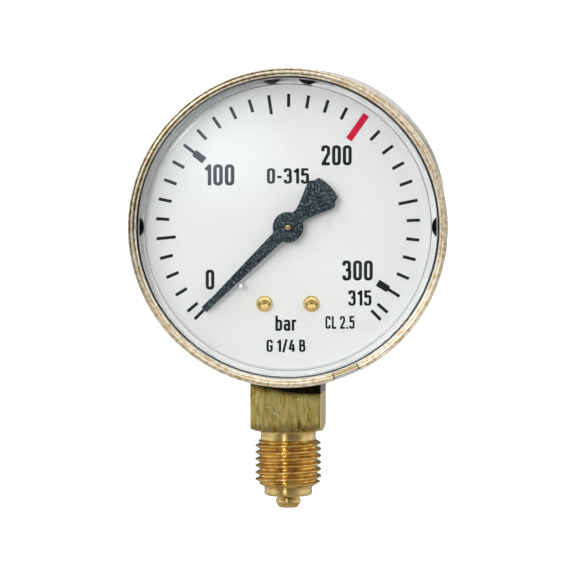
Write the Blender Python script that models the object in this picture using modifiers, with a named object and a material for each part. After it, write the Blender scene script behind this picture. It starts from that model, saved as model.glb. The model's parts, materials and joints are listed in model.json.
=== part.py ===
"""Bourdon-tube pressure gauge, nominal size 63, with a G 1/4 B connection at the bottom.

Run with: blender --background --python part.py

The origin is on the stem axis at the connection's sealing face, +Z runs up the stem and the dial
faces -Y. Pieces in the head hang from the empty dial_axis, whose local axes are u to the right,
v up and w forward out of the dial. All sizes below are in millimetres; the helpers turn them into
metres.
"""

import math

import bmesh
import bpy
from mathutils import Matrix, Vector

MM = 0.001

# Overall
DIAL_HEIGHT = 54.0          # dial centre above the sealing face
STEM_SQUARE = 14.0          # across the flats of the spanner square
SQUARE_TOP = 23.7           # it ends just below the case
SQUARE_TURN = -4.5          # degrees; the square doesn't face quite the way the dial does
RING_RADIUS = 31.25
FRONT = 18.0                # front of the snap ring, ahead of the stem axis
BACK = -9.5                 # back of the case
TURN_STEPS = 64             # facets of the large turned pieces

# Connection, G 1/4 B
PIN_LENGTH, PIN_RADIUS = 2.4, 2.5
COLLAR_TOP, COLLAR_RADIUS = 2.1, 4.75
THREAD_TOP, THREAD_RADIUS, THREAD_CHAMFER = 11.2, 6.5785, 0.9
SHOULDER, NECK_RADIUS = 13.0, 5.5
BORE_RADIUS = 1.25
THROTTLE_RADIUS, THROTTLE_TOP = 1.5, 3.0

# Socket block inside the case
BLOCK_TOP = 35.6
BLOCK_WIDTH = 12.8          # clear of the turned square's faces
STEP_BOTTOM, STEP_FACE = 31.0, 4.0          # milled step that carries the movement
HORN_TOP, HORN_LEFT, HORN_FRONT = 39.6, 1.0, 3.7

# Case, ring and window
SHEET = 0.6
CASE_RADIUS = 30.2
CASE_CORNER = 2.4
FLANGE_REAR, FLANGE_FRONT, FLANGE_RADIUS = 14.6, 15.3, 30.7
POCKET = (16.4, 8.0, 1.6)   # width, height and depth of the pressed pocket in the back
POCKET_HEIGHT = -22.3       # its centre, below the dial centre
CASE_SCREW_OFFSET = 4.4
LUG_RADIUS, LUG_OFFSET, LUG_ANGLE = 27.3, 5.0, 45.0     # a crescent behind the ring
LUG_SPAN, LUG_LEVEL = 62.0, (12.7, 13.3)
PLUG_RADIUS, PLUG_HEIGHT = 5.6, 14.0
RING_SHEET, RING_LIP, RING_REAR = 0.35, 29.75, 13.5
RING_TONGUE = 29.3          # inner edge of the ring's thin lip
GAP_START, GAP_END = 153.0, 163.0           # ring gap, in degrees clockwise from the top
WINDOW_FRONT, WINDOW_REAR, WINDOW_RADIUS = 17.1, 15.6, 30.5
SKIRT_INNER, SKIRT_OUTER = 28.3, 29.2

# Dial
DIAL_FRONT, DIAL_SHEET, DIAL_RADIUS = 11.2, 0.5, 29.1
NOTCH_ANGLES = (-90.0, -6.3, 7.7, 90.0)     # clockwise from the top
NOTCH_RADIUS, NOTCH_CENTRE = 2.56, 30.66
DIAL_SCREW = (4.6, -15.15)
STOP_PIN = (-9.2, -11.5)
STOP_PIN_RADIUS = 0.45

# Movement
MODULE = 0.3
PINION_TEETH, SECTOR_TEETH = 8, 80          # the sector as a full circle
SWEEP = 270.0                               # pointer travel
SECTOR_SWING = SWEEP * PINION_TEETH / SECTOR_TEETH
TIP_SWING = 0.048 * SWEEP
PITCH_PINION = MODULE * PINION_TEETH / 2
PITCH_SECTOR = MODULE * SECTOR_TEETH / 2
SECTOR_PIVOT = (-(PITCH_PINION + PITCH_SECTOR), 0.0)
TAIL_LENGTH = 8.0                           # sector pivot to link pin
REAR_PLATE, FRONT_PLATE = (4.3, 5.1), (8.7, 9.5)
SECTOR_LEVEL, PINION_LEVEL, LINK_LEVEL = (6.6, 7.4), (5.9, 7.9), (5.75, 6.35)
ARBOR_RADIUS, PIVOT_CLEARANCE = 0.5, 0.06
UPPER_PILLAR = (4.6, 5.2)
PILLAR_RADIUS = 1.6
MOVEMENT_SCREW = (4.6, -20.7)
POINTER_LEVEL = (13.5, 13.95)
POINTER_REST = -134.6                       # clockwise from the top

# Bourdon tube, a helix about the dial axis
COIL_RADIUS = 16.5
COIL_REAR, COIL_FRONT = -5.6, 2.2
TUBE_HALF_WIDTH, TUBE_HALF_THICKNESS = 1.45, 0.95
COIL_START = 282.0                          # inside the block's horn

# The link is square to both arms at mid travel, so the tube end and the tail point the same way.
LINK_ARM = 180.0 + math.degrees(math.acos((COIL_RADIUS - TAIL_LENGTH) / -SECTOR_PIVOT[0]))
TIP_REST = LINK_ARM - TIP_SWING / 2
TAIL_REST = LINK_ARM - SECTOR_SWING / 2
COIL_END = TIP_REST - 720.0 + 6.5           # the tube stops short of its end piece

gauge = bpy.data.collections.new("pressure_gauge")
cutters = bpy.data.collections.new("cutters")


# Helpers

def polar(radius, degrees, centre=(0.0, 0.0)):
    """A point at this distance and angle, counter-clockwise from the right."""
    angle = math.radians(degrees)
    return centre[0] + radius * math.cos(angle), centre[1] + radius * math.sin(angle)


def arc(radius, start, end, steps, centre=(0.0, 0.0)):
    """Points along an arc, both ends included."""
    return [polar(radius, start + (end - start) * i / steps, centre) for i in range(steps + 1)]


def circle(radius, steps=16, centre=(0.0, 0.0)):
    return arc(radius, 0, 360, steps, centre)[:-1]


def rounded(corners, radius, steps=3):
    """The outline through these corners, each rounded by short chords of a quadratic curve."""
    points = []
    for before, corner, after in zip(corners[-1:] + corners[:-1], corners, corners[1:] + corners[:1]):
        corner = Vector(corner)
        first = corner + (Vector(before) - corner).normalized() * radius
        last = corner + (Vector(after) - corner).normalized() * radius
        for i in range(steps + 1):
            t = i / steps
            points.append((1 - t) ** 2 * first + 2 * t * (1 - t) * corner + t * t * last)
    return [tuple(point) for point in points]


def finish(name, data, material, parent, at=(0, 0, 0), turn=0.0):
    """An object for this mesh or curve; without a material it's a cutter."""
    piece = bpy.data.objects.new(name, data)
    piece.parent = parent
    piece.location = [value * MM for value in at]
    piece.rotation_euler.z = math.radians(turn)
    if material:
        data.materials.append(material)
        gauge.objects.link(piece)
    else:
        cutters.objects.link(piece)
        piece.hide_render = True
        piece.display_type = "WIRE"
    return piece


def turned(name, profile, material, parent, at=(0, 0, 0), steps=16):
    """A profile of (radius, height) turned about local Z, running down its outer side.

    It is closed along the axis, or back to its first point where that is off the axis.
    """
    mesh = bpy.data.meshes.new(name)
    edges = [(i, i + 1) for i in range(len(profile) - 1)]
    if profile[0][0] > 0:
        edges.append((len(profile) - 1, 0))
    mesh.from_pydata([(radius * MM, 0, height * MM) for radius, height in profile], edges, [])
    piece = finish(name, mesh, material, parent, at)
    screw = piece.modifiers.new("turn", "SCREW")
    screw.steps = screw.render_steps = steps
    screw.use_merge_vertices = True
    screw.merge_threshold = 1e-6
    screw.use_smooth_shade = True
    return piece


def sheet(name, outlines, levels, material, parent, at=(0, 0), turn=0.0):
    """A flat piece between two levels: the first outline is its edge, the others are holes."""
    curve = bpy.data.curves.new(name, "CURVE")
    curve.dimensions = "2D"
    curve.fill_mode = "BOTH"
    curve.extrude = (levels[1] - levels[0]) / 2 * MM
    for outline in outlines:
        spline = curve.splines.new("POLY")
        spline.points.add(len(outline) - 1)
        for point, (u, v) in zip(spline.points, outline):
            point.co = (u * MM, v * MM, 0, 1)
        spline.use_cyclic_u = True
    return finish(name, curve, material, parent, (*at, sum(levels) / 2), turn)


def box(name, low, high, material, parent):
    mesh = bpy.data.meshes.new(name)
    shape = bmesh.new()
    size = [(b - a) * MM for a, b in zip(low, high)]
    middle = [(a + b) / 2 * MM for a, b in zip(low, high)]
    place = Matrix.Translation(middle) @ Matrix.Diagonal((*size, 1))
    bmesh.ops.create_cube(shape, size=1, matrix=place)
    shape.to_mesh(mesh)
    shape.free()
    return finish(name, mesh, material, parent)


def rod(name, radius, levels, material, parent, at=(0, 0), steps=16):
    """A plain cylinder between two levels."""
    low, high = levels
    return turned(name, [(0, high), (radius, high), (radius, low), (0, low)], material, parent, (*at, 0), steps)


def combine(piece, operation, *others):
    for other in others:
        modifier = piece.modifiers.new(other.name, "BOOLEAN")
        modifier.operation = operation
        modifier.object = other
        modifier.solver = "EXACT"


def as_mesh(shape):
    """A curve's solid as a mesh object, because a curve takes no part in a Boolean."""
    bpy.context.view_layer.update()
    mesh = bpy.data.meshes.new_from_object(shape.evaluated_get(bpy.context.evaluated_depsgraph_get()))
    solid = bmesh.new()
    solid.from_mesh(mesh)
    bmesh.ops.remove_doubles(solid, verts=solid.verts, dist=1e-6)
    solid.to_mesh(mesh)
    solid.free()
    name, place = shape.name, shape.matrix_world.copy()
    bpy.data.objects.remove(shape)
    piece = finish(name, mesh, None, None)
    piece.matrix_world = place
    return piece


def empty(name, parent, at=(0, 0)):
    """A pivot on an axis along w; moving pieces are children of theirs."""
    pivot = bpy.data.objects.new(name, None)
    pivot.parent = parent
    pivot.location = (at[0] * MM, at[1] * MM, 0)
    gauge.objects.link(pivot)
    return pivot


def material(name, color, metallic, roughness, alpha=1.0):
    finish_of = bpy.data.materials.new(name)
    finish_of.use_nodes = True
    shader = finish_of.node_tree.nodes["Principled BSDF"]
    shader.inputs["Base Color"].default_value = (*color, 1)
    shader.inputs["Metallic"].default_value = metallic
    shader.inputs["Roughness"].default_value = roughness
    shader.inputs["Alpha"].default_value = alpha
    return finish_of


# Stem

def make_socket():
    """The brass stem: pin, collar, thread, neck, square, and the block inside the case."""
    brass = material("socket_brass", (0.55, 0.40, 0.15), 1.0, 0.35)
    half, side = STEM_SQUARE / 2, BLOCK_WIDTH / 2
    corner = half * math.sqrt(2)
    piece = box("socket", (-half, -half, SHOULDER), (half, half, SQUARE_TOP), brass, None)
    piece.rotation_euler.z = math.radians(SQUARE_TURN)
    slope = math.tan(math.radians(15))
    below = SHOULDER - 0.55 * slope
    envelope = turned("cut_square_chamfer", [
        (0, SQUARE_TOP + 1), (corner + 0.2, SQUARE_TOP + 1),
        (corner + 0.2, SHOULDER + (corner + 0.15 - half) * slope), (half - 0.5, below), (0, below)],
        None, None, steps=48)
    combine(piece, "INTERSECT", envelope)
    stem = turned("add_stem", [
        (0, SHOULDER + 3), (NECK_RADIUS, SHOULDER + 3), (NECK_RADIUS, THREAD_TOP),
        (THREAD_RADIUS, THREAD_TOP - THREAD_CHAMFER), (THREAD_RADIUS, COLLAR_TOP + THREAD_CHAMFER),
        (COLLAR_RADIUS + 0.3, COLLAR_TOP), (COLLAR_RADIUS, COLLAR_TOP), (COLLAR_RADIUS, 0.35),
        (COLLAR_RADIUS - 0.35, 0), (PIN_RADIUS, 0), (PIN_RADIUS, 1 - PIN_LENGTH),
        (PIN_RADIUS - 0.7, -PIN_LENGTH), (0, -PIN_LENGTH)], None, None, steps=32)
    block = box("add_block", (-side, -half, SQUARE_TOP - 0.1), (side, half, BLOCK_TOP), None, None)
    horn = box("add_horn", (HORN_LEFT, HORN_FRONT, BLOCK_TOP - 1), (side - 0.1, half - 0.1, HORN_TOP),
               None, None)
    combine(piece, "UNION", stem, block, horn)

    channel_top, tube_seat = BLOCK_TOP - 2, DIAL_HEIGHT - COIL_RADIUS
    riser = (2.3, -COIL_REAR)
    cuts = [
        box("cut_step", (-half - 1, -half - 1, STEP_BOTTOM), (half + 1, -STEP_FACE, BLOCK_TOP + 1),
            None, None),
        rod("cut_bore", BORE_RADIUS, (-PIN_LENGTH - 1, channel_top), None, None),
        rod("cut_throttle_seat", THROTTLE_RADIUS, (-PIN_LENGTH - 1, THROTTLE_TOP), None, None),
        rod("cut_riser", 0.6, (channel_top - 0.8, tube_seat), None, None, riser, 8),
        box("cut_cross", (-0.7, -0.5, channel_top - 1.8), (riser[0], riser[1], channel_top - 0.4),
            None, None),
        box("cut_tube_seat",
            (HORN_LEFT - 1, -COIL_REAR - TUBE_HALF_WIDTH - 0.1, tube_seat - TUBE_HALF_THICKNESS - 0.1),
            (4.2, half + 1, tube_seat + TUBE_HALF_THICKNESS + 0.5), None, None)]
    for side in (-1, 1):
        front_hole = turned(f"cut_movement_thread_{side}", [(0, 9), (0.85, 9), (0.85, 0), (0, 0)],
                            None, dial_axis, (side * MOVEMENT_SCREW[0], MOVEMENT_SCREW[1], -1), 12)
        back_hole = turned(f"cut_case_thread_{side}", [(0, 6), (1.3, 6), (1.3, 0), (0, 0)],
                           None, dial_axis, (side * CASE_SCREW_OFFSET, POCKET_HEIGHT, BACK), 12)
        cuts += [front_hole, back_hole]
    combine(piece, "DIFFERENCE", *cuts)


def make_throttle_screw():
    brass = material("throttle_brass", (0.62, 0.47, 0.20), 1.0, 0.4)
    radius = THROTTLE_RADIUS - 0.1
    turned("throttle_screw", [(0.3, THROTTLE_TOP - 0.2), (radius, THROTTLE_TOP - 0.2),
                              (radius, -1.6), (radius - 0.3, -1.9), (0.8, -1.9), (0.3, -1.2)],
           brass, None)


# Case, ring and window

def case_profile(radius, back, corner, top):
    """The side and back of a can, from the top of its side to the middle of its back."""
    turn = arc(corner, 0, -90, 4, (radius - corner, back + corner))
    return [(radius, top), *turn, (0, back)]


def make_case():
    steel = material("case_steel", (0.62, 0.62, 0.60), 1.0, 0.35)
    inside = case_profile(CASE_RADIUS - SHEET, BACK + SHEET, CASE_CORNER - SHEET, FLANGE_FRONT)
    outside = case_profile(CASE_RADIUS, BACK, CASE_CORNER, FLANGE_REAR)
    flange = [(FLANGE_RADIUS, FLANGE_FRONT), (FLANGE_RADIUS, FLANGE_REAR)]
    piece = turned("case_shell", inside[::-1] + flange + outside, steel, dial_axis, steps=TURN_STEPS)

    def pocket(name, grow, top, bottom):
        wide, high = POCKET[0] / 2 + grow, POCKET[1] / 2 + grow
        corners = [(-wide, -high), (wide, -high), (wide, high), (-wide, high)]
        shape = sheet(name, [rounded(corners, 2.0 + grow)], (bottom, top), None, dial_axis,
                      (0, POCKET_HEIGHT))
        return as_mesh(shape)

    boss = pocket("add_pocket", SHEET, BACK + POCKET[2] + SHEET, BACK + SHEET / 2)
    hollow = pocket("cut_pocket", 0.0, BACK + POCKET[2], BACK - 1)
    middle = polar(LUG_OFFSET, LUG_ANGLE)
    edge = arc(LUG_RADIUS, LUG_ANGLE - LUG_SPAN, LUG_ANGLE + LUG_SPAN, 20, middle)
    reach = math.degrees(math.atan2(*edge[-1][::-1])) - LUG_ANGLE
    crescent = edge + arc(CASE_RADIUS - SHEET / 2, LUG_ANGLE + reach, LUG_ANGLE - reach, 20)
    lug = as_mesh(sheet("add_lug", [crescent], LUG_LEVEL, None, dial_axis))
    combine(piece, "UNION", boss, lug)
    holes = [rod(f"cut_case_hole_{side}", 1.7, (BACK - 1, BACK + 4), None, dial_axis,
                 (side * CASE_SCREW_OFFSET, POCKET_HEIGHT)) for side in (-1, 1)]
    plug_hole = rod("cut_plug_hole", PLUG_RADIUS, (BACK - 1, BACK + 2), None, dial_axis,
                    (0, PLUG_HEIGHT), 32)
    opening = STEM_SQUARE / 2 + 0.25
    stem_hole = box("cut_stem_hole", (-opening, -opening, 10), (opening, opening, 28), None, None)
    combine(piece, "DIFFERENCE", hollow, plug_hole, stem_hole, *holes)


def make_plug():
    """A snap-in plug that lifts out of the back if the tube bursts."""
    grey = material("plug_plastic", (0.05, 0.05, 0.05), 0.0, 0.5)
    hole = PLUG_RADIUS
    turned("blow_out_plug", [
        (0, BACK + 0.75), (hole - 1.3, BACK + 0.75), (hole - 1.3, BACK + 1.9), (hole - 0.6, BACK + 1.9),
        (hole + 0.3, BACK + 1.2), (hole + 0.3, BACK + 0.85), (hole - 0.2, BACK + 0.8),
        (hole - 0.2, BACK + 0.05), (0, BACK + 0.05)], grey, dial_axis, (0, PLUG_HEIGHT, 0), 32)


def make_case_screws():
    steel = material("case_screw_steel", (0.55, 0.55, 0.55), 1.0, 0.3)
    head = BACK + POCKET[2] - 0.1
    for side, word in ((-1, "left"), (1, "right")):
        piece = turned(f"case_screw_{word}", [
            (0, BACK + 5.4), (1.1, BACK + 5.4), (1.1, head), (2.6, head), (2.6, head - 0.6),
            (2.0, head - 1.2), (0, head - 1.3)], steel, dial_axis,
            (side * CASE_SCREW_OFFSET, POCKET_HEIGHT, 0), 20)
        slot = box(f"cut_case_slot_{word}", (-3, -0.4, head - 2), (3, 0.4, head - 0.6), None, dial_axis)
        slot.location = piece.location
        slot.rotation_euler.z = math.radians(35 * side)
        combine(piece, "DIFFERENCE", slot)


def make_ring():
    """The snap ring: a channel open inwards, notched at its joint down to its thin inner lip."""
    gold = material("ring_brass", (0.72, 0.58, 0.36), 1.0, 0.3)
    inner, wall = RING_RADIUS - RING_SHEET, RING_SHEET
    lip_front, rear = FRONT - 0.25, RING_REAR
    piece = turned("bezel_ring", [
        (RING_TONGUE, FRONT - 0.5), (RING_LIP, lip_front), (RING_LIP + 0.3, FRONT),
        (RING_RADIUS - 0.35, FRONT), (RING_RADIUS, FRONT - 0.4), (RING_RADIUS, rear),
        (CASE_RADIUS + 0.2, rear), (CASE_RADIUS + 0.2, rear + wall), (inner, rear + wall),
        (inner, FRONT - 0.7), (RING_TONGUE, FRONT - 0.7)], gold, dial_axis, steps=TURN_STEPS)
    span = [90 - GAP_START, 90 - GAP_END]
    wedge = arc(RING_RADIUS + 2, *span, 2) + arc(RING_LIP + 0.2, *span[::-1], 2)
    combine(piece, "DIFFERENCE",
            as_mesh(sheet("cut_ring_gap", [wedge], (RING_REAR - 1, FRONT + 1), None, dial_axis)))


def make_window():
    clear = material("window_plastic", (0.95, 0.97, 0.97), 0.0, 0.05, 0.25)
    turned("window", [
        (0, WINDOW_FRONT), (29.0, WINDOW_FRONT), (WINDOW_RADIUS, WINDOW_FRONT - 0.3),
        (WINDOW_RADIUS, WINDOW_REAR), (SKIRT_OUTER, WINDOW_REAR), (SKIRT_OUTER, DIAL_FRONT + 0.2),
        (SKIRT_INNER, DIAL_FRONT + 0.2), (SKIRT_INNER, WINDOW_REAR), (0, WINDOW_REAR)],
        clear, dial_axis, steps=TURN_STEPS)


# Dial

def dial_outline():
    """A circle with a round bite at each notch."""
    reach = (NOTCH_CENTRE ** 2 + DIAL_RADIUS ** 2 - NOTCH_RADIUS ** 2) / (2 * NOTCH_CENTRE * DIAL_RADIUS)
    half_notch = math.degrees(math.acos(reach))
    middles = sorted(90 - angle for angle in NOTCH_ANGLES)
    points = []
    for middle, following in zip(middles, middles[1:] + [middles[0] + 360]):
        centre = polar(NOTCH_CENTRE, middle)
        chord = (DIAL_RADIUS ** 2 - NOTCH_RADIUS ** 2 - NOTCH_CENTRE ** 2) / (-2 * NOTCH_CENTRE * NOTCH_RADIUS)
        open_angle = math.degrees(math.acos(chord))
        points += arc(NOTCH_RADIUS, middle + 180 + open_angle, middle + 180 - open_angle, 6, centre)[1:-1]
        start, end = middle + half_notch, following - half_notch
        points += arc(DIAL_RADIUS, start, end, max(2, round((end - start) / 5.6)))
    return points


def make_dial():
    white = material("dial_white", (0.80, 0.80, 0.78), 0.0, 0.5)
    holes = [circle(2.2), circle(STOP_PIN_RADIUS + 0.1, 10, STOP_PIN)]
    holes += [circle(1.2, 12, (side * DIAL_SCREW[0], DIAL_SCREW[1])) for side in (-1, 1)]
    sheet("dial", [dial_outline(), *holes], (DIAL_FRONT - DIAL_SHEET, DIAL_FRONT), white, dial_axis)


def make_stop_pin():
    white = material("stop_pin_white", (0.80, 0.80, 0.78), 0.0, 0.4)
    rod("stop_pin", STOP_PIN_RADIUS, (DIAL_FRONT - 1.0, POINTER_LEVEL[1] + 0.2), white, dial_axis,
        STOP_PIN, 12)


def make_dial_screws():
    brass = material("screw_brass", (0.75, 0.58, 0.25), 1.0, 0.25)
    spacer_brass = material("spacer_brass", (0.70, 0.55, 0.25), 1.0, 0.3)
    seat = DIAL_FRONT + 0.05
    for side, word in ((-1, "left"), (1, "right")):
        at = (side * DIAL_SCREW[0], DIAL_SCREW[1], 0)
        turned(f"dial_screw_{word}", [
            (0, seat + 0.4), (0.6, seat + 0.8), (1.0, seat + 0.9), (1.45, seat + 0.6), (1.6, seat + 0.1),
            (1.6, seat), (0.9, seat), (0.9, 6.4), (0, 6.4)], brass, dial_axis, at, 20)
        low, high = FRONT_PLATE[1] + 0.1, DIAL_FRONT - DIAL_SHEET - 0.1
        turned(f"dial_spacer_{word}", [(1.1, high), (PILLAR_RADIUS, high), (PILLAR_RADIUS, low), (1.1, low)],
               spacer_brass, dial_axis, at)


# Movement

def make_plates():
    brass = material("plate_brass", (0.72, 0.56, 0.26), 1.0, 0.35)
    pivot_hole = ARBOR_RADIUS + PIVOT_CLEARANCE
    left, right = SECTOR_PIVOT[0] - 3.4, 6.7
    sides = (-1, 1)
    shared_holes = [circle(pivot_hole), circle(pivot_hole, 16, SECTOR_PIVOT)]

    def outline(bottom):
        corners = [(-right, bottom), (right, bottom), (right, 8.0), (-3.0, 8.0), (-7.5, 4.0),
                   (left, 4.0), (left, -4.0), (-right, -4.6)]
        return rounded(corners, 1.5)

    rear_holes = [circle(0.9, 12, (side * DIAL_SCREW[0], DIAL_SCREW[1])) for side in sides]
    rear_holes += [circle(1.1, 12, (side * MOVEMENT_SCREW[0], MOVEMENT_SCREW[1])) for side in sides]
    rear_holes.append(circle(0.9, 12, UPPER_PILLAR))
    sheet("rear_plate", [outline(-22.8), *shared_holes, *rear_holes], REAR_PLATE, brass, dial_axis)
    front_holes = [circle(1.1, 12, (side * DIAL_SCREW[0], DIAL_SCREW[1])) for side in sides]
    front_holes.append(circle(0.9, 12, UPPER_PILLAR))
    sheet("front_plate", [outline(-17.2), *shared_holes, *front_holes], FRONT_PLATE, brass, dial_axis)


def make_pillars():
    brass = material("pillar_brass", (0.70, 0.55, 0.25), 1.0, 0.3)
    low, high = REAR_PLATE[1] + 0.1, FRONT_PLATE[0] - 0.1
    places = {"pillar_left": (-DIAL_SCREW[0], DIAL_SCREW[1]), "pillar_right": DIAL_SCREW,
              "pillar_upper": UPPER_PILLAR}
    for name, at in places.items():
        turned(name, [(0, 6.1), (1.0, 6.1), (1.0, high), (PILLAR_RADIUS, high), (PILLAR_RADIUS, low),
                      (0.8, low), (0.8, REAR_PLATE[0]), (0, REAR_PLATE[0])], brass, dial_axis, (*at, 0))


def make_movement_screws():
    steel = material("movement_screw_steel", (0.5, 0.5, 0.5), 1.0, 0.3)
    places = {"movement_screw_left": (-MOVEMENT_SCREW[0], MOVEMENT_SCREW[1], REAR_PLATE[1], 5.0),
              "movement_screw_right": (*MOVEMENT_SCREW, REAR_PLATE[1], 5.0),
              "plate_screw": (*UPPER_PILLAR, FRONT_PLATE[1], 3.1)}
    for name, (u, v, seat, length) in places.items():
        low = seat + 0.1
        turned(name, [(0, low + 0.8), (1.3, low + 0.8), (1.6, low + 0.5), (1.6, low), (0.75, low),
                      (0.75, low - length), (0, low - length)], steel, dial_axis, (u, v, 0))


def gear_teeth(teeth, radius, first, last, thickness=0.44):
    """Trapezoid teeth about the middle, from tooth number first to last; tooth 0 points right."""
    pitch = 360 / teeth
    points = []
    for tooth in range(first, last + 1):
        middle = tooth * pitch
        half = thickness * pitch / 2
        for reach, spread in ((-1.1, 1.45), (0.8, 0.35), (0.8, -0.35), (-1.1, -1.45)):
            points.append(polar(radius + reach * MODULE, middle - half * spread))
    return points


def make_pointer_shaft():
    steel = material("arbor_brass", (0.75, 0.62, 0.30), 1.0, 0.25)
    brass = material("pinion_brass", (0.74, 0.58, 0.26), 1.0, 0.3)
    turned("pointer_arbor", [
        (0, POINTER_LEVEL[1] + 0.5), (0.35, POINTER_LEVEL[1] + 0.45), (ARBOR_RADIUS, POINTER_LEVEL[1] + 0.2),
        (ARBOR_RADIUS, REAR_PLATE[0] - 0.1), (0, REAR_PLATE[0] - 0.1)], steel, pointer_pivot)
    teeth = gear_teeth(PINION_TEETH, PITCH_PINION, 0, PINION_TEETH - 1)
    half_pitch = 180 / PINION_TEETH
    sheet("pinion", [teeth, circle(0.6, 12)], PINION_LEVEL, brass, pointer_pivot, turn=half_pitch)
    turned("pointer_bush", [(0.6, POINTER_LEVEL[0] - 0.1), (1.3, POINTER_LEVEL[0] - 0.1),
                            (1.3, 11.7), (0.6, 11.7)], brass, pointer_pivot)
    turned("hairspring_collet", [(0.6, 8.55), (1.35, 8.55), (1.35, 8.05), (0.6, 8.05)],
           brass, pointer_pivot)


def pointer_outline():
    """Pointing up: the blade, the hub disc and the flared tail, right half then left half."""
    hub, tip, tip_half = 3.0, 23.5, 0.35
    blade = [(tip_half, tip), (0.62, 21.5), (1.2, hub + 0.3)]
    hub_top, hub_bottom = math.degrees(math.asin(1.2 / hub)), math.degrees(math.asin(1.35 / hub))
    disc = arc(hub, 90 - hub_top, -90 + hub_bottom, 8)
    tail = [(1.75, -4.6), (2.45, -6.4), (3.25, -8.1)]
    corner = arc(1.2, -10, -60, 3, (2.45, -9.2))
    end = arc(8.6, -76, -90, 3, (0, -2.9))
    right = blade + disc + tail + corner + end
    left = [(-u, v) for u, v in right[-2::-1]]
    return right + left


def make_pointer():
    black = material("pointer_black", (0.03, 0.035, 0.04), 0.0, 0.6)
    sheet("pointer", [pointer_outline(), circle(ARBOR_RADIUS + 0.1, 12)], POINTER_LEVEL,
          black, pointer_pivot, turn=-POINTER_REST)


def make_hairspring():
    """A flat spiral ribbon from the collet out to the stud."""
    bronze = material("spring_bronze", (0.72, 0.50, 0.24), 1.0, 0.3)
    brass = material("stud_brass", (0.74, 0.58, 0.26), 1.0, 0.3)
    turns, inner, outer, ribbon = 2.5, 1.6, 4.6, 0.15
    count = round(turns * 16)

    def side(offset):
        return [polar(inner + offset + (outer - inner) * i / count, 200 + turns * 360 * i / count)
                for i in range(count + 1)]

    sheet("hairspring", [side(ribbon) + side(0)[::-1]], (8.1, 8.5), bronze, dial_axis)
    stud = polar(outer + 1.0, 200 + turns * 360)
    rod("hairspring_stud", 0.7, (8.0, FRONT_PLATE[0] - 0.1), brass, dial_axis, stud, 12)


def make_sector():
    brass = material("sector_brass", (0.72, 0.56, 0.26), 1.0, 0.35)
    steel = material("sector_steel", (0.55, 0.55, 0.55), 1.0, 0.3)
    pitch = 360 / SECTOR_TEETH
    below, above = -math.ceil((SECTOR_SWING + 5) / pitch), 1
    low, high = (below - 0.7) * pitch, (above + 0.7) * pitch
    hub, tail_end, tail_half = 2.3, 1.4, 32
    tail_pin = polar(TAIL_LENGTH, TAIL_REST)
    outline = gear_teeth(SECTOR_TEETH, PITCH_SECTOR, below, above)
    outline += [polar(PITCH_SECTOR - 2.2, high)]
    outline += arc(hub, high + 30, TAIL_REST - tail_half, 6)
    outline += arc(tail_end, TAIL_REST - 90, TAIL_REST + 90, 6, tail_pin)
    outline += arc(hub, TAIL_REST + tail_half, 360 + low - 30, 3)
    outline += [polar(PITCH_SECTOR - 2.2, low)]
    window = arc(PITCH_SECTOR - 2.6, low + 5, high - 5, 5) + arc(5.0, high - 11, low + 11, 2)
    holes = [circle(ARBOR_RADIUS + 0.1, 12), circle(0.6, 12, tail_pin), window]
    sheet("sector_gear", [outline, *holes], SECTOR_LEVEL, brass, sector_pivot)
    rod("sector_arbor", ARBOR_RADIUS, (REAR_PLATE[0], FRONT_PLATE[1]), steel, sector_pivot)
    turned("sector_pin", [(0, SECTOR_LEVEL[1] + 0.3), (0.9, SECTOR_LEVEL[1] + 0.3),
                          (0.9, SECTOR_LEVEL[1] + 0.1), (ARBOR_RADIUS, SECTOR_LEVEL[1] + 0.1),
                          (ARBOR_RADIUS, LINK_LEVEL[0] - 0.3), (0, LINK_LEVEL[0] - 0.3)],
           steel, sector_pivot, (*tail_pin, 0))


# Pressure element

def tube_path():
    """The tube's centre line, winding clockwise forwards; the last point is at its free end."""
    count = 56
    for i in range(count + 1):
        share = i / count
        angle = COIL_START + (COIL_END - COIL_START) * share
        yield angle, COIL_REAR + (COIL_FRONT - COIL_REAR) * share


def make_tube():
    """A loft of the flattened section along the helix, which no curve bevel keeps upright."""
    bronze = material("tube_bronze", (0.66, 0.42, 0.20), 1.0, 0.35)
    mesh = bpy.data.meshes.new("bourdon_tube")
    shape = bmesh.new()
    sides, rings = 8, []
    for angle, level in tube_path():
        ring = []
        for i in range(sides):
            around = 2 * math.pi * i / sides
            radius = COIL_RADIUS + TUBE_HALF_THICKNESS * math.cos(around)
            u, v = polar(radius, angle)
            ring.append(shape.verts.new((u * MM, v * MM, (level + TUBE_HALF_WIDTH * math.sin(around)) * MM)))
        rings.append(ring)
    for near, far in zip(rings, rings[1:]):
        for i in range(sides):
            shape.faces.new((near[i], near[i - 1], far[i - 1], far[i]))
    shape.faces.new(rings[0])
    shape.faces.new(rings[-1][::-1])
    bmesh.ops.recalc_face_normals(shape, faces=shape.faces)
    shape.to_mesh(mesh)
    shape.free()
    finish("bourdon_tube", mesh, bronze, dial_axis)


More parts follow.
